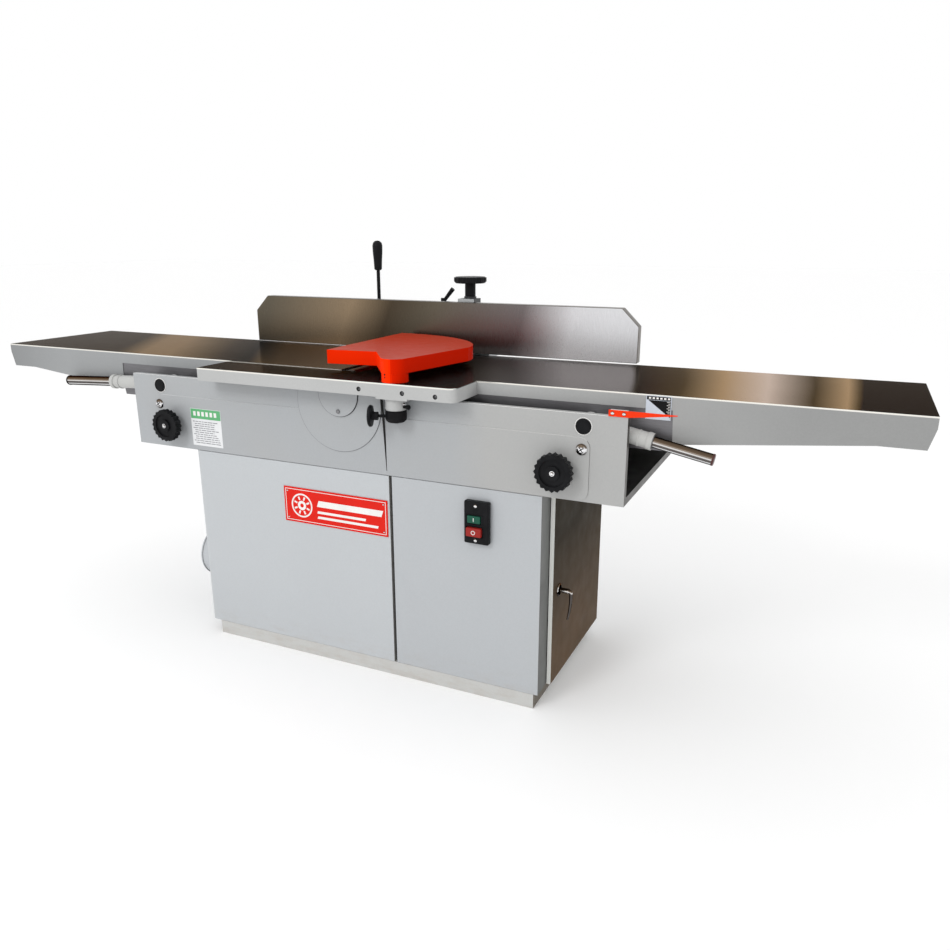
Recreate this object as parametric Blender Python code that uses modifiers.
# Long bed jointer: cabinet stand, cast bed, two parallelogram tables, guard and tilting fence.
# Metres, +Z up, +X toward the infeed end. Depth is written from the bed's front face.
import math

import bmesh
import bpy
from mathutils import Matrix, Vector

# ---- driving dimensions -------------------------------------------------------------------
FRONT = -0.3614          # world y of the bed's front face
GAP = 0.0004             # slip fit between neighbouring pieces

CABINET_LEFT = -0.526
CABINET_RIGHT = 0.5385
CABINET_FRONT = 0.0625
CABINET_BACK = 0.4975
CABINET_BOTTOM = 0.0408
CABINET_TOP = 0.5765
SHEET = 0.003

BED_HALF = 0.7375
BED_DEPTH = 0.575
BED_BOTTOM = 0.5775
BED_TOP = 0.786
BED_FLOOR = 0.5955
FRONT_WALL = 0.018
BACK_WALL = 0.014
RELIEF_TOP = 0.785
PANEL_PROUD = 0.0018

TABLE_FRONT = 0.063
TABLE_BACK = 0.4745
TABLE_END = 1.340
TABLE_PLATE = 0.024
TABLE_WALL = 0.016
INFEED_TOP = 0.830
OUTFEED_TOP = 0.8325
INFEED_LIP = 0.008
OUTFEED_LIP = -0.051
INFEED_STRIP = 0.822
OUTFEED_STRIP = 0.845
APRON = 0.0325

LEDGE_FRONT = -0.063
LEDGE_LEFT = -0.434
LEDGE_RIGHT = 0.342
LEDGE_BOTTOM = 0.7955
LEDGE_ROOF = 0.8195

CUTTER_X = -0.022
CUTTER_Z = 0.7832
CUTTER_R = 0.0492

SHAFT_R = 0.0125
OUTER_SHAFT_X = 0.636
OUTER_SHAFT_Z = 0.757
INNER_INFEED_X = 0.200
INNER_OUTFEED_X = -0.244
INNER_SHAFT_Z = 0.748
DISC_R = 0.036
DISC_BORE = 0.039
SHAFT_SLOT = 0.0138
THROW_X = 0.0213
THROW_Z = -0.0078
LEVER_Y = 0.0405
STOP_Z = 0.703
KNOB_Z = 0.650
KNOB_INFEED_X = 0.579
KNOB_OUTFEED_X = -0.592
STOP_INFEED_X = 0.634
STOP_OUTFEED_X = -0.643

GUARD_X = 0.1645
GUARD_Y = -0.029
POST_R = 0.0095
KNOB_LEAN = math.radians(20)

MOTOR_X = 0.300
MOTOR_Z = 0.200
MOTOR_PULLEY_R = 0.055
CUTTER_PULLEY_R = 0.040

PORT_Y = 0.1375
PORT_Z = 0.205

HINGE_X = 0.5455
HINGE_Y = 0.4935
LATCH_Y = 0.110
LATCH_Z = 0.293

FENCE_FRONT = 0.4615
FENCE_BACK = 0.4915
FENCE_BOTTOM = 0.835
FENCE_TOP = 0.982
FENCE_LEFT = -0.645
FENCE_RIGHT = 0.640
TILT_Y = 0.5005
TILT_Z = 0.8442
CARRIAGE_BOTTOM = 0.838
CARRIAGE_TOP = 0.868
LOCK_X = -0.291
LOCK_Y = 0.66
LOCK_Z = 0.884

# ---- tints --------------------------------------------------------------------------------
PAINT = (0.47, 0.50, 0.51)
STEEL = (0.45, 0.44, 0.42)
CAST = (0.22, 0.22, 0.21)
CHROME = (0.75, 0.75, 0.76)
BLACK = (0.018, 0.018, 0.020)
ORANGE = (0.90, 0.09, 0.015)
RED = (0.62, 0.02, 0.02)
GREEN = (0.02, 0.33, 0.09)
CREAM = (0.75, 0.72, 0.62)


def at(x, y, z):
    """World position of a point given by its depth behind the bed's front face."""
    return Vector((x, y + FRONT, z))


def collection(name):
    group = bpy.data.collections.new(name)
    bpy.context.scene.collection.children.link(group)
    return group


for old in list(bpy.data.objects):
    bpy.data.objects.remove(old, do_unlink=True)
PARTS = collection("parts")
CUTTERS = collection("cutters")


# ---- shape helpers ------------------------------------------------------------------------
def mesh_object(name, bm, pivot):
    """Object from a bmesh in world coordinates, with its origin at the pivot."""
    bmesh.ops.translate(bm, verts=bm.verts, vec=-pivot)
    bmesh.ops.recalc_face_normals(bm, faces=bm.faces)
    mesh = bpy.data.meshes.new(name)
    bm.to_mesh(mesh)
    bm.free()
    obj = bpy.data.objects.new(name, mesh)
    obj.location = pivot
    return obj


def block(name, low, high, pivot=Vector()):
    bm = bmesh.new()
    bmesh.ops.create_cube(bm, size=1.0)
    low = at(*low)
    high = at(*high)
    for vert in bm.verts:
        for axis in range(3):
            vert.co[axis] = low[axis] + (vert.co[axis] + 0.5) * (high[axis] - low[axis])
    return mesh_object(name, bm, pivot)


def rod(name, start, end, radius, pivot=Vector(), segments=32, end_radius=None):
    """Cylinder, or cone when the end radius differs, between two points."""
    start = at(*start)
    end = at(*end)
    span = end - start
    turn = span.to_track_quat("Z", "Y").to_matrix().to_4x4()
    bm = bmesh.new()
    bmesh.ops.create_cone(
        bm,
        cap_ends=True,
        segments=segments,
        radius1=radius,
        radius2=radius if end_radius is None else end_radius,
        depth=span.length,
        matrix=Matrix.Translation((start + end) / 2) @ turn,
    )
    return mesh_object(name, bm, pivot)


def prism(name, outlines, plane, low, high, pivot=Vector()):
    """Flat outline in plane XY, XZ or YZ, given thickness along the remaining axis."""
    curve = bpy.data.curves.new(name, "CURVE")
    curve.dimensions = "2D"
    curve.fill_mode = "BOTH"
    curve.extrude = (high - low) / 2
    for points in outlines:
        spline = curve.splines.new("POLY")
        spline.points.add(len(points) - 1)
        for point, (u, v) in zip(spline.points, points):
            point.co = (u, v, 0.0, 1.0)
        spline.use_cyclic_u = True
    flat = bpy.data.objects.new(name + "_outline", curve)
    bpy.context.scene.collection.objects.link(flat)
    bpy.context.view_layer.update()
    graph = bpy.context.evaluated_depsgraph_get()
    mesh = bpy.data.meshes.new_from_object(flat.evaluated_get(graph))
    bpy.data.objects.remove(flat, do_unlink=True)
    bm = bmesh.new()
    bm.from_mesh(mesh)
    bpy.data.meshes.remove(mesh)
    bmesh.ops.remove_doubles(bm, verts=bm.verts, dist=1e-6)
    middle = (low + high) / 2
    for vert in bm.verts:
        u, v, w = vert.co
        w += middle
        if plane == "XY":
            vert.co = at(u, v, w)
        elif plane == "XZ":
            vert.co = at(u, w, v)
        else:
            vert.co = at(w, u, v)
    return mesh_object(name, bm, pivot)


def turned(name, profile, base, axis, steps=48):
    """Body of revolution: (radius, distance) pairs from the far end of the axis to its base."""
    mesh = bpy.data.meshes.new(name)
    points = [(radius, 0.0, height) for radius, height in profile]
    edges = [(i, i + 1) for i in range(len(points) - 1)]
    if profile[0][0] > 0.0:
        edges.append((len(points) - 1, 0))
    mesh.from_pydata(points, edges, [])
    obj = bpy.data.objects.new(name, mesh)
    obj.rotation_mode = "QUATERNION"
    obj.rotation_quaternion = Vector(axis).to_track_quat("Z", "Y")
    obj.location = at(*base)
    screw = obj.modifiers.new("turn", "SCREW")
    screw.steps = steps
    screw.render_steps = steps
    screw.use_merge_vertices = True
    screw.merge_threshold = 1e-5
    return obj


def bent_rod(name, points, radii, pivot, resolution=6):
    """Round bar along a path of points, with a radius at every point."""
    curve = bpy.data.curves.new(name, "CURVE")
    curve.dimensions = "3D"
    curve.bevel_depth = 1.0
    curve.bevel_resolution = resolution
    curve.use_fill_caps = True
    spline = curve.splines.new("POLY")
    spline.points.add(len(points) - 1)
    for point, place, radius in zip(spline.points, points, radii):
        point.co = (*(at(*place) - pivot), 1.0)
        point.radius = radius
    obj = bpy.data.objects.new(name, curve)
    obj.location = pivot
    return obj


def arc(cx, cy, radius, start, stop, count):
    """Points along an arc, angles in degrees."""
    points = []
    for i in range(count + 1):
        angle = math.radians(start + (stop - start) * i / count)
        points.append((cx + radius * math.cos(angle), cy + radius * math.sin(angle)))
    return points


def boolean(obj, tool, operation):
    CUTTERS.objects.link(tool)
    tool.hide_render = True
    tool.display_type = "WIRE"
    step = obj.modifiers.new(tool.name, "BOOLEAN")
    step.operation = operation
    step.solver = "EXACT"
    step.object = tool


def cut(obj, *tools):
    for tool in tools:
        boolean(obj, tool, "DIFFERENCE")


def join(obj, *tools):
    for tool in tools:
        boolean(obj, tool, "UNION")


def soften(obj, width, segments=2):
    bevel = obj.modifiers.new("edge", "BEVEL")
    bevel.width = width
    bevel.segments = segments
    bevel.limit_method = "ANGLE"
    bevel.angle_limit = math.radians(40)


def finish(obj, tint, metallic=0.0, roughness=0.45, smooth=False):
    """Add a finished piece to the machine with its own material."""
    PARTS.objects.link(obj)
    material = bpy.data.materials.new(obj.name)
    material.use_nodes = True
    shader = material.node_tree.nodes["Principled BSDF"]
    shader.inputs["Base Color"].default_value = (*tint, 1.0)
    shader.inputs["Metallic"].default_value = metallic
    shader.inputs["Roughness"].default_value = roughness
    obj.data.materials.append(material)
    if smooth and obj.type == "MESH":
        obj.data.shade_smooth()
        obj.data.set_sharp_from_angle(angle=math.radians(35))
    return obj


# ---- stand --------------------------------------------------------------------------------
def plinth_frame():
    frame = block("plinth_frame", (-0.491, 0.0, 0.0), (0.529, 0.450, 0.0404))
    cut(frame, block("plinth_inside", (-0.466, 0.025, -0.01), (0.504, 0.425, 0.05)))
    finish(frame, PAINT)


def cabinet_shell():
    shell = block(
        "cabinet_shell",
        (CABINET_LEFT, CABINET_FRONT, CABINET_BOTTOM),
        (CABINET_RIGHT, CABINET_BACK, CABINET_TOP),
    )
    cut(
        shell,
        block(
            "cabinet_inside",
            (CABINET_LEFT + SHEET, CABINET_FRONT + SHEET, CABINET_BOTTOM + SHEET),
            (CABINET_RIGHT - SHEET, CABINET_BACK - SHEET, CABINET_TOP - SHEET),
        ),
        block("cabinet_mouth", (-0.503, 0.0855, 0.56), (0.5155, 0.4745, 0.59)),
        block("door_opening", (0.52, 0.075, 0.070), (0.55, 0.465, 0.545)),
        rod("port_hole", (-0.54, PORT_Y, PORT_Z), (-0.51, PORT_Y, PORT_Z), 0.062, segments=48),
        rod("shaft_hole", (MOTOR_X, 0.48, MOTOR_Z), (MOTOR_X, 0.51, MOTOR_Z), 0.020),
    )
    finish(shell, PAINT)


def front_panel(name, left, right, rounded):
    """Folded cover: front face with two returns."""
    back = CABINET_FRONT - 0.0015
    wall = 0.0025
    if rounded:
        outer = arc(left + 0.019, 0.019, 0.019, 180, 270, 8)
        inner = arc(left + 0.019, 0.019, 0.019 - wall, 270, 180, 8)
    else:
        outer = [(left, 0.0)]
        inner = [(left + wall, wall)]
    points = [(left, back)] + outer + [(right, 0.0), (right, back), (right - wall, back)]
    points += [(right - wall, wall)] + inner + [(left + wall, back)]
    finish(prism(name, [points], "XY", 0.041, 0.576), PAINT)


def end_door():
    pivot = at(HINGE_X, HINGE_Y, 0.3065)
    door = block("end_door", (0.5415, 0.065, 0.041), (0.5525, 0.488, 0.572), pivot)
    cut(
        door,
        block("door_inside", (0.535, 0.0675, 0.0435), (0.5497, 0.4855, 0.5695)),
        rod("latch_hole", (0.53, LATCH_Y, LATCH_Z), (0.56, LATCH_Y, LATCH_Z), 0.0063),
    )
    finish(door, PAINT)


def door_hinge():
    barrel = rod("door_hinge", (HINGE_X, HINGE_Y, 0.09), (HINGE_X, HINGE_Y, 0.53), 0.0045)
    join(barrel, block("hinge_leaf", (0.5389, 0.4705, 0.09), (0.5412, 0.4935, 0.53)))
    join(barrel, block("hinge_web", (0.5400, 0.4900, 0.09), (0.5440, 0.4935, 0.53)))
    finish(barrel, STEEL, 1.0, 0.35)


def door_latch():
    pivot = at(0.5560, LATCH_Y, LATCH_Z)
    spindle = [(0.5300, 0.0055), (0.5528, 0.0055), (0.5529, 0.0170), (0.5545, 0.0170)]
    spindle += [(0.5560, 0.0140), (0.5561, 0.0068), (0.5780, 0.0068)]
    path = [(x, LATCH_Y, LATCH_Z) for x, _ in spindle]
    radii = [radius for _, radius in spindle]
    path += [(0.5780 + x, LATCH_Y, LATCH_Z + z) for x, z in arc(0.0, -0.0080, 0.0080, 75, 0, 5)]
    radii += [0.0064, 0.0060, 0.0056, 0.0052, 0.0048, 0.0045]
    path += [(0.5858, LATCH_Y, LATCH_Z - 0.030), (0.5830, LATCH_Y, LATCH_Z - 0.055)]
    path += [(0.5785, LATCH_Y, LATCH_Z - 0.079)]
    radii += [0.0042, 0.0036, 0.0028]
    finish(bent_rod("door_latch_handle", path, radii, pivot), CHROME, 1.0, 0.15)
    cam = prism(
        "latch_cam",
        [
            arc(LATCH_Y, LATCH_Z, 0.013, 0, 180, 12) + arc(LATCH_Y, LATCH_Z - 0.032, 0.008, 180, 360, 8),
            arc(LATCH_Y, LATCH_Z, 0.0059, 0, 345, 23),
        ],
        "YZ",
        0.5302,
        0.5340,
        at(0.5320, LATCH_Y, LATCH_Z),
    )
    finish(cam, STEEL, 1.0, 0.4)


def dust_port():
    profile = [(0.0700, 0.0817), (0.0745, 0.0817), (0.0745, 0.0), (0.0640, 0.0), (0.0640, 0.0040)]
    profile += [(0.0700, 0.0060)]
    port = turned("dust_port", profile, (CABINET_LEFT - 0.0003, PORT_Y, PORT_Z), (-1, 0, 0))
    finish(port, PAINT, smooth=True)


def dust_chute():
    wall = 0.0025
    outer = [(-0.130, 0.572), (0.090, 0.572), (0.090, 0.500), (-0.250, 0.130)]
    outer += [(-0.522, 0.130), (-0.522, 0.285), (-0.330, 0.285), (-0.130, 0.480)]
    inner = [(-0.130 + wall, 0.60), (0.090 - wall, 0.60), (0.090 - wall, 0.501)]
    inner += [(-0.2511, 0.130 + wall), (-0.522 + wall, 0.130 + wall)]
    inner += [(-0.522 + wall, 0.285 - wall), (-0.3290, 0.285 - wall), (-0.130 + wall, 0.479)]
    chute = prism("dust_chute", [outer], "XZ", 0.068, 0.468)
    cut(
        chute,
        prism("chute_inside", [inner], "XZ", 0.068 + wall, 0.468 - wall),
        rod("chute_outlet", (-0.53, PORT_Y, PORT_Z), (-0.51, PORT_Y, PORT_Z), 0.0615, segments=48),
    )
    finish(chute, STEEL, 1.0, 0.5)


# ---- drive --------------------------------------------------------------------------------
def motor():
    profile = [(0.0, 0.290), (0.060, 0.290), (0.088, 0.283), (0.098, 0.268), (0.098, 0.246)]
    profile += [(0.106, 0.244), (0.106, 0.060), (0.098, 0.058), (0.098, 0.030), (0.085, 0.004)]
    profile += [(0.070, 0.0), (0.0, 0.0)]
    body = turned("motor_body", profile, (MOTOR_X, 0.130, MOTOR_Z), (0, 1, 0), 36)
    join(
        body,
        block("motor_foot", (MOTOR_X - 0.085, 0.200, 0.0745), (MOTOR_X + 0.085, 0.360, 0.112)),
        block("terminal_box", (MOTOR_X - 0.045, 0.225, 0.290), (MOTOR_X + 0.045, 0.325, 0.345)),
    )
    finish(body, BLACK, 0.0, 0.5, smooth=True)
    mount = block("motor_mount", (0.195, 0.180, 0.0441), (0.405, 0.380, 0.0740))
    cut(mount, block("mount_inside", (0.201, 0.15, 0.03), (0.399, 0.41, 0.0680)))
    finish(mount, PAINT)


def motor_shaft():
    pivot = at(MOTOR_X, 0.4850, MOTOR_Z)
    shaft = rod("motor_shaft", (MOTOR_X, 0.4203, MOTOR_Z), (MOTOR_X, 0.5490, MOTOR_Z), 0.0095, pivot)
    finish(shaft, STEEL, 1.0, 0.3, smooth=True)


def pulley(name, x, z, radius, bore):
    """Grooved pulley with a rim at each side of the belt."""
    rim = radius + 0.006
    profile = [(bore, 0.036), (rim, 0.036), (rim, 0.033), (radius, 0.031), (radius, 0.005)]
    profile += [(rim, 0.003), (rim, 0.0), (bore, 0.0)]
    wheel = turned(name, profile, (x, 0.512, z), (0, 1, 0), 36)
    finish(wheel, CAST, 0.8, 0.45, smooth=True)


def drive_belt():
    """Flat ring round both pulleys."""
    dx = CUTTER_X - MOTOR_X
    dz = CUTTER_Z - MOTOR_Z
    span = math.hypot(dx, dz)
    along = math.degrees(math.atan2(dz, dx))
    lean = math.degrees(math.asin((MOTOR_PULLEY_R - CUTTER_PULLEY_R) / span))
    loops = []
    for extra in (0.0085, 0.0006):
        top = arc(CUTTER_X, CUTTER_Z, CUTTER_PULLEY_R + extra, along - 90 + lean, along + 90 - lean, 20)
        low = arc(MOTOR_X, MOTOR_Z, MOTOR_PULLEY_R + extra, along + 90 - lean, along + 270 + lean, 24)
        loops.append(top + low)
    finish(prism("drive_belt", loops, "XZ", 0.5185, 0.5415), BLACK, 0.0, 0.8)


def belt_guard():
    guard = block("belt_guard", (-0.020, 0.4979, 0.100), (0.400, 0.572, 0.5768))
    cut(guard, block("guard_room", (-0.0175, 0.49, 0.1025), (0.3975, 0.5695, 0.59)))
    soften(guard, 0.002, 1)
    finish(guard, PAINT)


def cutterhead():
    pivot_y = 0.130
    base = (CUTTER_X, pivot_y, CUTTER_Z)
    profile = [(0.0, 0.417), (0.0105, 0.417), (0.0105, 0.347), (0.019, 0.347), (0.019, 0.343)]
    profile += [(CUTTER_R, 0.343), (CUTTER_R, -0.0655), (0.019, -0.0655), (0.019, -0.0695)]
    profile += [(0.0105, -0.0695), (0.0105, -0.1085), (0.0, -0.1085)]
    head = turned("cutterhead", profile, base, (0, 1, 0), 36)
    for i in range(3):
        angle = math.radians(20 + 120 * i)
        x = CUTTER_X + 0.050 * math.cos(angle)
        z = CUTTER_Z + 0.050 * math.sin(angle)
        cut(head, rod(f"gullet_{i}", (x, 0.060, z), (x, 0.478, z), 0.011, segments=16))
    finish(head, STEEL, 1.0, 0.3, smooth=True)


def bearing_block(name, low, high):
    half = 0.045
    outline = [(CUTTER_X - half, 0.7355), (CUTTER_X + half, 0.7355), (CUTTER_X + half, 0.768)]
    outline += arc(CUTTER_X, CUTTER_Z, 0.0213, 20, 160, 12)
    outline += [(CUTTER_X - half, 0.768)]
    bore = arc(CUTTER_X, CUTTER_Z, 0.0109, 0, 350, 35)
    finish(prism(name, [outline, bore], "XZ", low, high), CAST, 0.6, 0.5)


# ---- bed ----------------------------------------------------------------------------------
def bed_relief(bed):
    """Raised front panel, round boss over the front bearing and tapered groove."""
    radius = 0.025
    panel = arc(0.653 - radius, 0.579 + radius, radius, 270, 360, 6)
    panel += arc(0.653 - radius, 0.731 - radius, radius, 0, 90, 6)
    panel += arc(-0.653 + radius, 0.731 - radius, radius, 90, 180, 6)
    panel += arc(-0.653 + radius, 0.579 + radius, radius, 180, 270, 6)
    side = math.degrees(math.asin((RELIEF_TOP - 0.755) / 0.128))
    boss = arc(CUTTER_X, 0.755, 0.128, 180 - side, 360 + side, 48)
    join(
        bed,
        prism("front_panel_relief", [panel], "XZ", -PANEL_PROUD, 0.001),
        prism("front_boss", [boss], "XZ", -2 * PANEL_PROUD, 0.001),
    )
    groove = [(0.104, 0.790), (0.1165, 0.790), (0.1168, 0.589), (0.1154, 0.589)]
    cut(bed, prism("taper_groove", [groove], "XZ", -0.01, 0.0080))


def bed_casting():
    bed = block("bed_casting", (-BED_HALF, 0.0, BED_BOTTOM), (BED_HALF, BED_DEPTH, BED_TOP))
    cut(
        bed,
        block(
            "bed_channel",
            (-BED_HALF - 0.01, FRONT_WALL, BED_FLOOR),
            (BED_HALF + 0.01, BED_DEPTH - BACK_WALL, BED_TOP + 0.01),
        ),
    )
    for index, x in enumerate((-0.42, 0.42)):
        join(bed, block(f"bed_rib_{index}", (x - 0.006, 0.010, 0.585), (x + 0.006, 0.568, 0.665)))
    join(
        bed,
        block("cradle_front", (CUTTER_X - 0.05, 0.010, 0.585), (CUTTER_X + 0.05, 0.0600, 0.7350)),
        block("cradle_rear", (CUTTER_X - 0.05, 0.4775, 0.585), (CUTTER_X + 0.05, 0.5130, 0.7350)),
        block("pointer_pad", (0.696, 0.0, 0.780), (0.736, 0.010, 0.8005)),
    )
    cut(
        bed,
        block("chip_opening", (-0.130, 0.070, 0.56), (0.090, 0.465, 0.5960)),
        block("belt_opening", (0.010, 0.5140, 0.56), (0.165, 0.5500, 0.60)),
    )
    bed_relief(bed)
    for side, x, stop, knob in (
        ("left", -OUTER_SHAFT_X, STOP_OUTFEED_X, KNOB_OUTFEED_X),
        ("right", OUTER_SHAFT_X, STOP_INFEED_X, KNOB_INFEED_X),
    ):
        cut(
            bed,
            rod(f"cap_seat_{side}", (x, -0.01, OUTER_SHAFT_Z), (x, 0.010, OUTER_SHAFT_Z), 0.0188),
            rod(f"shaft_bore_{side}", (x, 0.005, OUTER_SHAFT_Z), (x, 0.60, OUTER_SHAFT_Z), 0.0128),
            rod(f"screw_bore_{side}", (stop, -0.01, STOP_Z), (stop, 0.03, STOP_Z), 0.0054),
            rod(f"stud_bore_{side}", (knob, -0.01, KNOB_Z), (knob, 0.03, KNOB_Z), 0.0064),
        )
    for side, x in (("a", INNER_INFEED_X), ("b", INNER_OUTFEED_X)):
        cut(bed, rod(f"inner_bore_{side}", (x, 0.010, INNER_SHAFT_Z), (x, 0.60, INNER_SHAFT_Z), 0.0128))
    finish(bed, PAINT)


def bearing_cover():
    side = math.degrees(math.asin((RELIEF_TOP - 0.781) / 0.060))
    half = arc(-0.021, 0.781, 0.060, 180 - side, 360 + side, 24)
    finish(prism("bearing_cover", [half], "XZ", -0.0070, -0.0039), PAINT)
    head = rod("bearing_cover_screw", (-0.021, -0.0072, 0.735), (-0.021, -0.0105, 0.735), 0.0055, segments=20)
    soften(head, 0.001, 1)
    finish(head, CHROME, 1.0, 0.25, smooth=True)


def bed_fittings(suffix, cap_x, stop_x):
    """Shaft cap and stop screw at one end of the bed."""
    profile = [(0.0, 0.0140), (0.0165, 0.0140), (0.0184, 0.0125), (0.0184, 0.0), (0.0, 0.0)]
    cap = turned(f"shaft_cap_{suffix}", profile, (cap_x, 0.0097, OUTER_SHAFT_Z), (0, -1, 0), 28)
    finish(cap, BLACK, 0.0, 0.35, smooth=True)
    profile = [(0.0, 0.0385), (0.0060, 0.0380), (0.0110, 0.0362), (0.0135, 0.0335)]
    profile += [(0.0135, 0.0320), (0.0050, 0.0320), (0.0050, 0.0), (0.0, 0.0)]
    screw = turned(f"stop_screw_{suffix}", profile, (stop_x, 0.0298, STOP_Z), (0, -1, 0), 20)
    finish(screw, CHROME, 1.0, 0.2, smooth=True)


def lock_knob(suffix, x):
    """Lobed hand knob on its stud."""
    z = KNOB_Z
    lobes = 20
    outline = []
    for i in range(lobes * 4):
        angle = 2 * math.pi * i / (lobes * 4)
        radius = 0.0440 + 0.0022 * math.cos(lobes * angle)
        outline.append((x + radius * math.cos(angle), z + radius * math.sin(angle)))
    pivot = at(x, -0.030, z)
    knob = prism(f"lock_knob_{suffix}", [outline], "XZ", -0.0440, -0.0240, pivot)
    join(
        knob,
        rod(f"knob_hub_{suffix}", (x, -0.0475, z), (x, -0.0185, z), 0.0150),
        rod(f"knob_stud_{suffix}", (x, -0.0200, z), (x, 0.0360, z), 0.0060, segments=20),
    )
    cut(knob, rod(f"knob_dish_{suffix}", (x, -0.050, z), (x, -0.0400, z), 0.0330))
    join(knob, rod(f"knob_cap_{suffix}", (x, -0.0450, z), (x, -0.0385, z), 0.0170))
    finish(knob, BLACK, 0.0, 0.35)


# ---- tables -------------------------------------------------------------------------------
def shaft_slot(name, x, z, path):
    """Slot in a table's side skin for the path its cross shaft takes."""
    (ax, az), (bx, bz) = path
    lean = math.degrees(math.atan2(bz - az, bx - ax))
    outline = arc(x + ax, z + az, SHAFT_SLOT, lean + 90, lean + 270, 16)
    outline += arc(x + bx, z + bz, SHAFT_SLOT, lean - 90, lean + 90, 16)
    return prism(name, [outline], "XZ", 0.055, 0.070)


def table(name, mirror, top, lip, strip, shafts, path, pivot):
    """Cast table: plate, two side walls with eccentric bores, ribs and a tapering apron."""
    under = top - TABLE_PLATE
    end = mirror * TABLE_END
    slant = mirror * (TABLE_END - 0.012)
    body = block(
        name,
        (min(lip, end), TABLE_FRONT, under),
        (max(lip, end), TABLE_BACK, top),
        pivot,
    )
    drop = top - INFEED_TOP
    start = lip + mirror * 0.030
    wall = [(start, under + 0.01), (start, 0.745 + drop), (start + mirror * 0.03, 0.692 + drop)]
    wall += [(mirror * 0.705, 0.692 + drop), (mirror * 0.730, 0.702 + drop)]
    wall += [(mirror * strip, 0.702 + drop), (mirror * (strip + 0.003), 0.719 + drop)]
    wall += [(mirror * 1.236, 0.760 + drop), (slant, 0.760 + drop), (end, 0.805 + drop)]
    wall += [(end, under + 0.01)]
    skin = [(lip, top - 0.01), (lip, top - APRON), (mirror * strip, top - APRON)]
    skin += [(mirror * (strip + 0.003), 0.719 + drop), (mirror * 1.236, 0.760 + drop)]
    skin += [(slant, 0.760 + drop), (end, 0.805 + drop), (end, top - 0.01)]
    join(
        body,
        prism(f"{name}_wall_front", [wall], "XZ", TABLE_FRONT + 0.0016, TABLE_FRONT + TABLE_WALL),
        prism(f"{name}_wall_rear", [wall], "XZ", TABLE_BACK - TABLE_WALL, TABLE_BACK),
        prism(f"{name}_skin", [skin], "XZ", TABLE_FRONT, TABLE_FRONT + 0.0030),
        block(
            f"{name}_end_wall",
            (min(slant, slant - mirror * 0.014), TABLE_FRONT + 0.005, 0.762 + drop),
            (max(slant, slant - mirror * 0.014), TABLE_BACK - 0.005, under + 0.005),
        ),
    )
    for index, x in enumerate((0.345, 0.50, 0.78, 0.95, 1.12)):
        join(
            body,
            block(
                f"{name}_rib_{index}",
                (mirror * x - 0.005, TABLE_FRONT + 0.005, 0.775),
                (mirror * x + 0.005, TABLE_BACK - 0.005, under + 0.005),
            ),
        )
    for index, (x, z) in enumerate(shafts):
        cut(body, shaft_slot(f"{name}_slot_{index}", x, z, path))
        x -= mirror * THROW_X
        z += THROW_Z
        bore = (x, TABLE_FRONT + 0.0042, z), (x, 0.50, z)
        cut(body, rod(f"{name}_bore_{index}", *bore, DISC_BORE, segments=48))
    return body


def throat(body, start):
    """Room for the cutterhead in the lip of a table."""
    ends = (CUTTER_X, start, CUTTER_Z), (CUTTER_X, 0.50, CUTTER_Z)
    cut(body, rod(body.name + "_throat", *ends, 0.055, segments=64))


def infeed_table():
    pivot = at(0.674, 0.2687, 0.800)
    shafts = [(INNER_INFEED_X, INNER_SHAFT_Z), (OUTER_SHAFT_X, OUTER_SHAFT_Z)]
    path = ((0.0019, -0.0025), (-0.0042, 0.0056))
    body = table("infeed_table", 1, INFEED_TOP, INFEED_LIP, INFEED_STRIP, shafts, path, pivot)
    outline = [(LEDGE_LEFT, 0.0615), (LEDGE_LEFT, LEDGE_FRONT + 0.002)]
    outline += [(LEDGE_LEFT + 0.002, LEDGE_FRONT)]
    outline += arc(LEDGE_RIGHT - 0.020, LEDGE_FRONT + 0.020, 0.020, 270, 360, 8)
    outline += [(LEDGE_RIGHT, 0.0660), (INFEED_LIP, 0.0660), (INFEED_LIP, 0.0615)]
    join(
        body,
        prism("ledge", [outline], "XY", LEDGE_BOTTOM, INFEED_TOP),
        block("ledge_pad", (0.128, LEDGE_FRONT, 0.7905), (0.215, -0.0060, 0.800)),
        rod("guard_boss", (GUARD_X, GUARD_Y, 0.7600), (GUARD_X, GUARD_Y, 0.800), 0.0255, segments=40),
    )
    room = LEDGE_FRONT + 0.010
    cut(
        body,
        block("ledge_room_left", (LEDGE_LEFT + 0.010, room, 0.75), (0.126, 0.0515, LEDGE_ROOF)),
        block("ledge_room_seam", (-0.10, 0.015, 0.75), (0.060, 0.0625, LEDGE_ROOF)),
        block("ledge_room_right", (0.217, room, 0.75), (LEDGE_RIGHT - 0.010, 0.0515, LEDGE_ROOF)),
        rod("post_bore", (GUARD_X, GUARD_Y, 0.74), (GUARD_X, GUARD_Y, 0.85), POST_R + GAP),
    )
    throat(body, 0.0617)
    for index, (x, z) in enumerate(((0.080, 0.811), (0.202, 0.809), (0.291, 0.8075))):
        cut(body, rod(f"ledge_hole_{index}", (x, -0.08, z), (x, -0.057, z), 0.0060, segments=20))
    finish(body, PAINT)


def outfeed_table():
    pivot = at(-0.6955, 0.2687, 0.800)
    shafts = [(INNER_OUTFEED_X, INNER_SHAFT_Z), (-OUTER_SHAFT_X, OUTER_SHAFT_Z)]
    path = ((-0.0012, -0.0016), (0.0038, 0.0051))
    body = table("outfeed_table", -1, OUTFEED_TOP, OUTFEED_LIP, OUTFEED_STRIP, shafts, path, pivot)
    throat(body, 0.03)
    finish(body, PAINT)


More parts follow.
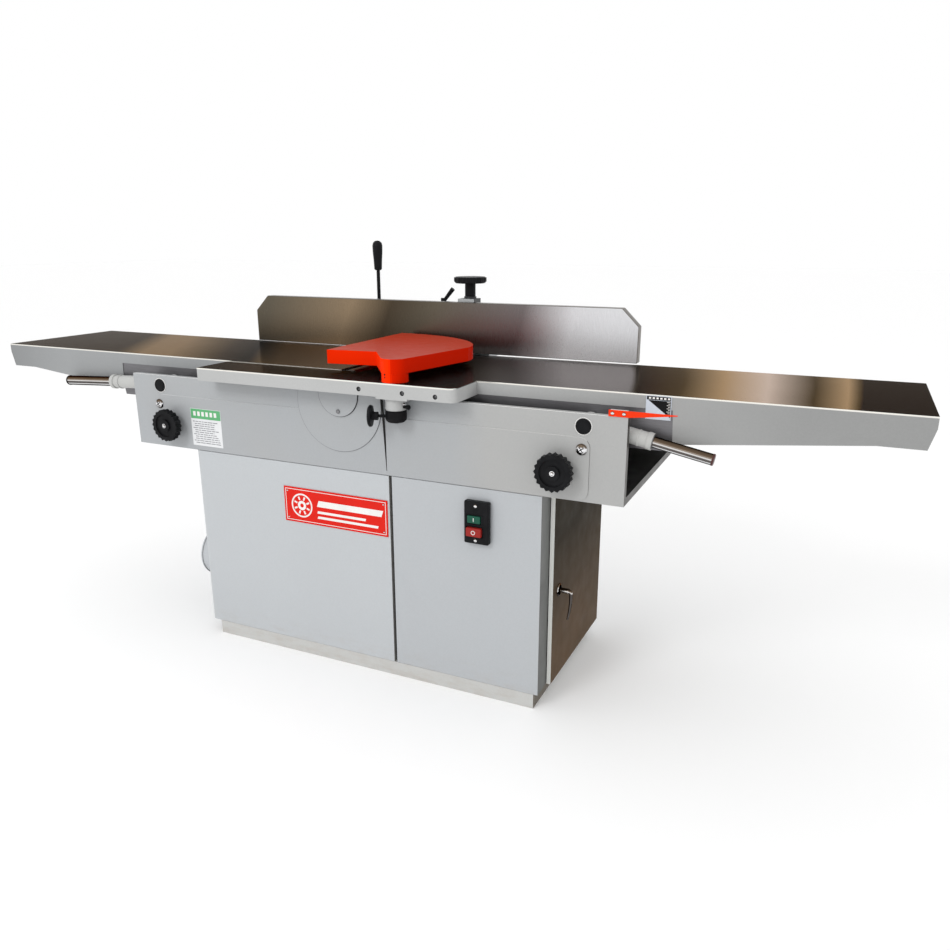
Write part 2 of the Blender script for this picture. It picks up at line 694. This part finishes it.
def eccentric_shaft(name, x, z, mirror):
    """Cross shaft with an eccentric disc inside each side wall of the table."""
    shaft = rod(name, (x, 0.0103, z), (x, 0.5720, z), SHAFT_R, at(x, 0.2687, z), 24)
    dx = x - mirror * THROW_X
    dz = z + THROW_Z
    for side, low, high in (("front", 0.0676, 0.0785), ("rear", 0.4590, 0.4740)):
        join(shaft, rod(f"{name}_{side}", (dx, low, dz), (dx, high, dz), DISC_R, segments=32))
    finish(shaft, STEEL, 1.0, 0.4, smooth=True)


def table_lever(suffix, x, elbow, tip, socket_r, rod_r):
    """Clamp socket on the shaft, then a round bar held in its end."""
    pivot = at(x, LEVER_Y, OUTER_SHAFT_Z)
    along = (Vector(tip) - Vector((x, OUTER_SHAFT_Z))).normalized()
    near = Vector((x, OUTER_SHAFT_Z)) + along * 0.010
    far = Vector(elbow)
    socket = rod(
        f"{suffix}_lever_socket",
        (x, 0.0225, OUTER_SHAFT_Z),
        (x, 0.0585, OUTER_SHAFT_Z),
        0.0225,
        pivot,
    )
    join(
        socket,
        rod(f"{suffix}_socket_arm", (near.x, LEVER_Y, near.y), (far.x, LEVER_Y, far.y), socket_r),
    )
    seat = far - along * 0.040
    cut(
        socket,
        rod(f"{suffix}_socket_bore", (x, 0.01, OUTER_SHAFT_Z), (x, 0.07, OUTER_SHAFT_Z), 0.0128),
        rod(
            f"{suffix}_bar_seat",
            (seat.x, LEVER_Y, seat.y),
            ((far + along * 0.01).x, LEVER_Y, (far + along * 0.01).y),
            rod_r + GAP,
        ),
    )
    finish(socket, CAST, 0.4, 0.5, smooth=True)
    start = seat + along * 0.0005
    bar = rod(
        f"{suffix}_lever_bar",
        (start.x, LEVER_Y, start.y),
        (tip[0], LEVER_Y, tip[1]),
        rod_r,
        pivot,
        28,
    )
    soften(bar, 0.0025)
    finish(bar, CHROME, 1.0, 0.15, smooth=True)


def depth_scale():
    plate = block("scale_plate", (0.761, 0.0612, 0.774), (0.818, 0.0627, 0.828))
    finish(plate, CREAM, 0.0, 0.4)
    outline = [(0.693, 0.7862), (0.740, 0.7862), (0.845, 0.7985), (0.845, 0.8005), (0.740, 0.8010)]
    outline += [(0.693, 0.801)]
    pointer = prism("scale_pointer", [outline], "XZ", -0.0019, -0.0004)
    finish(pointer, RED, 0.0, 0.4)


# ---- guard --------------------------------------------------------------------------------
def guard_outline(scale):
    outline = [(-0.066, 0.021), (0.072, 0.039)]
    outline += arc(GUARD_X, GUARD_Y, 0.034, 216.5, 347.8, 14)
    steps = 20
    for i in range(steps + 1):
        u = i / steps
        angle = math.radians(70 + 47.5 * u)
        radius = 0.252 + 0.26 * u ** 0.78
        outline.append((GUARD_X + radius * math.cos(angle), GUARD_Y + radius * math.sin(angle)))
    cx = 0.060
    cy = 0.190
    return [(cx + (x - cx) * scale, cy + (y - cy) * scale) for x, y in outline]


def cutter_guard():
    pivot = at(GUARD_X, GUARD_Y, 0.860)
    plate = prism("guard_plate", [guard_outline(1.0)], "XY", 0.853, 0.889, pivot)
    soften(plate, 0.005, 2)
    cut(plate, prism("guard_room_under", [guard_outline(0.90)], "XY", 0.84, 0.882))
    join(
        plate,
        rod("guard_hub", (GUARD_X, GUARD_Y, 0.8303), (GUARD_X, GUARD_Y, 0.8870), 0.0330, segments=40),
    )
    cut(plate, rod("hub_bore", (GUARD_X, GUARD_Y, 0.82), (GUARD_X, GUARD_Y, 0.8700), POST_R + GAP))
    finish(plate, ORANGE, 0.0, 0.3)


def guard_fittings():
    pivot = at(GUARD_X, GUARD_Y, 0.745)
    post = rod("guard_post", (GUARD_X, GUARD_Y, 0.7290), (GUARD_X, GUARD_Y, 0.8696), POST_R, pivot)
    finish(post, STEEL, 1.0, 0.3, smooth=True)
    profile = [(POST_R + GAP, 0.0310), (0.0255, 0.0310), (0.0268, 0.0297), (0.0268, 0.0110)]
    profile += [(0.0250, 0.0060), (0.0205, 0.0020), (0.0130, 0.0), (POST_R + GAP, 0.0)]
    collar = turned("guard_collar", profile, (GUARD_X, GUARD_Y, 0.7280), (0, 0, 1), 32)
    finish(collar, BLACK, 0.0, 0.4, smooth=True)
    away = Vector((-math.cos(KNOB_LEAN), -math.sin(KNOB_LEAN), 0.0))
    base = Vector((GUARD_X, GUARD_Y, 0.7435)) + 0.0272 * away
    profile = [(0.0, 0.0450), (0.0100, 0.0445), (0.0240, 0.0420), (0.0272, 0.0390), (0.0275, 0.0360)]
    profile += [(0.0262, 0.0330), (0.0120, 0.0310), (0.0105, 0.0290), (0.0105, 0.0180)]
    profile += [(0.0040, 0.0175), (0.0040, 0.0), (0.0, 0.0)]
    knob = turned("guard_lock_knob", profile, base, away, 28)
    finish(knob, BLACK, 0.0, 0.35, smooth=True)


# ---- fence --------------------------------------------------------------------------------
def fence_way():
    """Bracket bolted behind the bed with the rail that carries the fence."""
    way = block("fence_way", (-0.300, 0.5755, 0.806), (0.150, 0.800, 0.8374))
    join(
        way,
        block("way_rail", (-0.300, 0.5125, 0.806), (-0.085, 0.600, 0.8374)),
        block("way_leg", (-0.260, 0.5755, 0.640), (0.110, 0.5955, 0.815)),
        block("way_rib_a", (-0.220, 0.590, 0.700), (-0.208, 0.700, 0.815)),
        block("way_rib_b", (0.060, 0.590, 0.700), (0.072, 0.700, 0.815)),
    )
    slope = [(0.60, 0.69), (0.71, 0.69), (0.71, 0.800)]
    cut(
        way,
        prism("way_slope", [slope], "YZ", -0.25, 0.10),
        block("way_groove", (-0.2205, 0.47, 0.8215), (-0.1795, 0.82, 0.85)),
    )
    finish(way, PAINT)


def fence_carriage():
    pivot = at(-0.075, 0.650, 0.853)
    body = block("fence_carriage", (-0.310, 0.512, CARRIAGE_BOTTOM), (0.160, 0.800, CARRIAGE_TOP), pivot)
    join(body, block("carriage_tongue", (-0.220, 0.720, 0.8222), (-0.180, 0.798, 0.845)))
    for index, x in enumerate((-0.260, 0.100)):
        lug = arc(TILT_Y, TILT_Z, 0.009, 90, 270, 10) + [(0.5115, 0.8386), (0.520, 0.8386)]
        lug += [(0.520, TILT_Z + 0.009)]
        join(body, prism(f"carriage_lug_{index}", [lug], "YZ", x, x + 0.020))
    for index, x in enumerate((LOCK_X - 0.0155, LOCK_X + 0.0105)):
        low = (x, LOCK_Y - 0.014, 0.860)
        high = (x + 0.005, LOCK_Y + 0.014, 0.895)
        join(body, block(f"lever_ear_{index}", low, high))
    for index, x in enumerate((-0.2395, 0.0800)):
        cut(body, block(f"lug_slot_{index}", (x - 0.0010, 0.49, 0.82), (x + 0.0205, 0.562, 0.90)))
    cut(
        body,
        rod("carriage_pin_bore", (-0.30, TILT_Y, TILT_Z), (0.20, TILT_Y, TILT_Z), 0.0053),
    )
    finish(body, PAINT)


def tilt_stop():
    """Post behind the fence with the screw it rests on at its steepest angle."""
    post = block("tilt_stop", (-0.085, 0.628, 0.8684), (-0.045, 0.668, 0.905))
    soften(post, 0.003)
    join(post, rod("stop_screw_shank", (-0.065, 0.648, 0.890), (-0.065, 0.648, 0.935), 0.006, segments=20))
    finish(post, CAST, 0.5, 0.5)


def fence():
    plate = block(
        "fence_plate",
        (FENCE_LEFT, FENCE_FRONT, FENCE_BOTTOM),
        (FENCE_RIGHT, FENCE_BACK, FENCE_TOP),
        at(0.0, TILT_Y, TILT_Z),
    )
    for side, x, turn in (("left", FENCE_LEFT, 1), ("right", FENCE_RIGHT, -1)):
        corner = [(x - turn * 0.01, FENCE_TOP + 0.01), (x - turn * 0.01, FENCE_TOP - 0.058)]
        corner += [(x, FENCE_TOP - 0.048), (x + turn * 0.048, FENCE_TOP)]
        corner += [(x + turn * 0.058, FENCE_TOP + 0.01)]
        cut(plate, prism(f"fence_corner_{side}", [corner], "XZ", 0.44, 0.51))
    soften(plate, 0.0012, 1)
    finish(plate, STEEL, 1.0, 0.35)
    ends = (-0.264, TILT_Y, TILT_Z), (0.124, TILT_Y, TILT_Z)
    pin = rod("fence_hinge_pin", *ends, 0.0050, at(0, TILT_Y, TILT_Z), 20)
    finish(pin, STEEL, 1.0, 0.3, smooth=True)


def fence_bracket():
    pivot = at(0.0, TILT_Y, TILT_Z)
    body = block("fence_bracket", (-0.2395, FENCE_BACK + GAP, 0.897), (0.150, 0.500, 0.975), pivot)
    for index, x in enumerate((-0.2390, 0.0805)):
        lug = arc(TILT_Y, TILT_Z, 0.0085, 180, 360, 10) + [(0.509, 0.905), (0.492, 0.905)]
        join(body, prism(f"bracket_lug_{index}", [lug], "YZ", x, x + 0.0185))
    join(
        body,
        block("knob_pillar", (0.082, 0.495, 0.935), (0.132, 0.550, 0.9900)),
        rod("knob_pillar_top", (0.107, 0.530, 0.985), (0.107, 0.530, 0.9955), 0.0185),
        block("clamp_pillar", (0.004, 0.495, 0.945), (0.030, 0.545, 0.9720)),
    )
    cut(
        body,
        rod("bracket_pin_bore", (-0.30, TILT_Y, TILT_Z), (0.20, TILT_Y, TILT_Z), 0.0053),
        rod("knob_bore", (0.107, 0.530, 0.960), (0.107, 0.530, 1.02), 0.0064),
        rod("clamp_bore", (0.017, 0.530, 0.950), (0.017, 0.530, 0.98), 0.0054),
    )
    finish(body, PAINT)


def fence_controls():
    profile = [(0.0, 0.0900), (0.0440, 0.0900), (0.0465, 0.0880), (0.0465, 0.0740), (0.0440, 0.0715)]
    profile += [(0.0175, 0.0715), (0.0160, 0.0690), (0.0160, 0.0330), (0.0060, 0.0330)]
    profile += [(0.0060, 0.0), (0.0, 0.0)]
    knob = turned("tilt_lock_knob", profile, (0.107, 0.530, 0.9630), (0, 0, 1), 32)
    finish(knob, BLACK, 0.0, 0.35, smooth=True)
    pivot = at(0.017, 0.530, 0.980)
    lever = rod("tilt_clamp_lever", (0.017, 0.530, 0.951), (0.017, 0.530, 0.9745), 0.0050, pivot, 20)
    join(
        lever,
        rod("clamp_head", (0.017, 0.530, 0.9725), (0.017, 0.530, 0.9880), 0.0085, segments=24),
        rod("clamp_arm", (0.019, 0.530, 0.980), (0.049, 0.530, 1.016), 0.0052, end_radius=0.0068),
    )
    finish(lever, BLACK, 0.0, 0.35, smooth=True)
    pivot = at(LOCK_X, LOCK_Y, LOCK_Z)
    ends = (LOCK_X - 0.0100, LOCK_Y, LOCK_Z), (LOCK_X + 0.0100, LOCK_Y, LOCK_Z)
    stem = rod("carriage_lock_lever", *ends, 0.0125, pivot)
    ends = (LOCK_X, LOCK_Y, LOCK_Z + 0.005), (LOCK_X, LOCK_Y, 1.0900)
    join(stem, rod("lock_stem", *ends, 0.0058, segments=24))
    finish(stem, BLACK, 0.0, 0.35, smooth=True)
    profile = [(0.0, 0.0920), (0.0080, 0.0905), (0.0140, 0.0850), (0.0165, 0.0760), (0.0160, 0.0560)]
    profile += [(0.0140, 0.0300), (0.0125, 0.0), (0.0062, 0.0), (0.0062, 0.0270), (0.0, 0.0270)]
    grip = turned("carriage_lock_grip", profile, (LOCK_X, LOCK_Y, 1.0635), (0, 0, 1), 24)
    finish(grip, BLACK, 0.0, 0.35, smooth=True)


# ---- switch and plates --------------------------------------------------------------------
def switch():
    box = block("switch_box", (0.3426, -0.0180, 0.435), (0.409, -0.0004, 0.546))
    soften(box, 0.004, 3)
    cut(
        box,
        block("start_well", (0.3515, -0.03, 0.4885), (0.3895, -0.0090, 0.5105)),
        block("stop_well", (0.3495, -0.03, 0.4545), (0.3935, -0.0090, 0.4805)),
    )
    finish(box, BLACK, 0.0, 0.45)
    pivot = at(0.3705, -0.017, 0.4995)
    start = block("start_button", (0.3530, -0.0215, 0.4900), (0.3880, -0.0125, 0.5090), pivot)
    soften(start, 0.0015, 2)
    finish(start, GREEN, 0.0, 0.35)
    pivot = at(0.3715, -0.017, 0.4675)
    stop = block("stop_button", (0.3510, -0.0265, 0.4560), (0.3920, -0.0125, 0.4790), pivot)
    soften(stop, 0.0025, 2)
    finish(stop, RED, 0.0, 0.35)


def name_plate():
    plate = block("name_plate", (-0.217, -0.0018, 0.407), (0.114, -0.0004, 0.508))
    finish(plate, RED, 0.0, 0.35)


plinth_frame()
cabinet_shell()
front_panel("front_panel_left", -0.528, 0.120, True)
front_panel("front_panel_right", 0.129, 0.5405, False)
end_door()
door_hinge()
door_latch()
dust_port()
dust_chute()
motor()
motor_shaft()
pulley("motor_pulley", MOTOR_X, MOTOR_Z, MOTOR_PULLEY_R, 0.0098)
pulley("cutter_pulley", CUTTER_X, CUTTER_Z, CUTTER_PULLEY_R, 0.0108)
drive_belt()
belt_guard()
cutterhead()
bearing_block("bearing_block_front", 0.0205, 0.0580)
bearing_block("bearing_block_rear", 0.4785, 0.5115)
bed_casting()
bearing_cover()
bed_fittings("infeed", OUTER_SHAFT_X, STOP_INFEED_X)
bed_fittings("outfeed", -OUTER_SHAFT_X, STOP_OUTFEED_X)
lock_knob("infeed", KNOB_INFEED_X)
lock_knob("outfeed", KNOB_OUTFEED_X)
infeed_table()
outfeed_table()
eccentric_shaft("infeed_shaft_outer", OUTER_SHAFT_X, OUTER_SHAFT_Z, 1)
eccentric_shaft("infeed_shaft_inner", INNER_INFEED_X, INNER_SHAFT_Z, 1)
eccentric_shaft("outfeed_shaft_outer", -OUTER_SHAFT_X, OUTER_SHAFT_Z, -1)
eccentric_shaft("outfeed_shaft_inner", INNER_OUTFEED_X, INNER_SHAFT_Z, -1)
table_lever("infeed", OUTER_SHAFT_X, (0.786, 0.7272), (0.922, 0.700), 0.0185, 0.0130)
table_lever("outfeed", -OUTER_SHAFT_X, (-0.863, 0.7457), (-1.055, 0.736), 0.0190, 0.0145)
depth_scale()
cutter_guard()
guard_fittings()
fence_way()
fence_carriage()
tilt_stop()
fence()
fence_bracket()
fence_controls()
switch()
name_plate()
